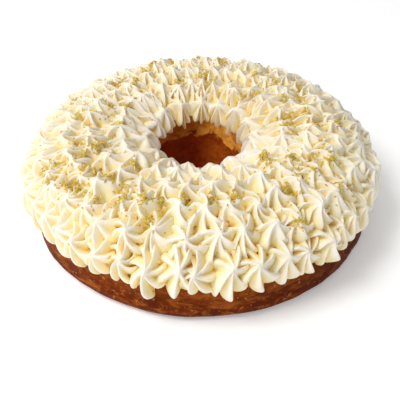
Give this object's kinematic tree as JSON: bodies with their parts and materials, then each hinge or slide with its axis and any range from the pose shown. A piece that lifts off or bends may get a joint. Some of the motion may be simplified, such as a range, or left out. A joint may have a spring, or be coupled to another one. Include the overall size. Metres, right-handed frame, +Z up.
{
  "type": "lemon ring cake",
  "caption": "Whole lemon ring cake: a golden sponge ring with buttercream piped in stars over its top and shoulders, and lemon peel shreds.",
  "frame": {"origin": "centre of the hole at the level of the flat base", "axes": "+Z up along the axis of the ring; the ring looks alike from every side, and +Y points to the far side of the cake in its usual view"},
  "size_m": [0.2598, 0.2602, 0.0742],
  "materials": {
    "golden_sponge": "baked golden brown crust, fine pores, slight gloss",
    "buttercream": "smooth satin, pale ivory",
    "lemon_zest": "fine moist shreds, yellow to yellow-green"
  },
  "bodies": {
    "root": {"sponge": "golden_sponge", "buttercream": "buttercream"}
  },
  "joints": []
}
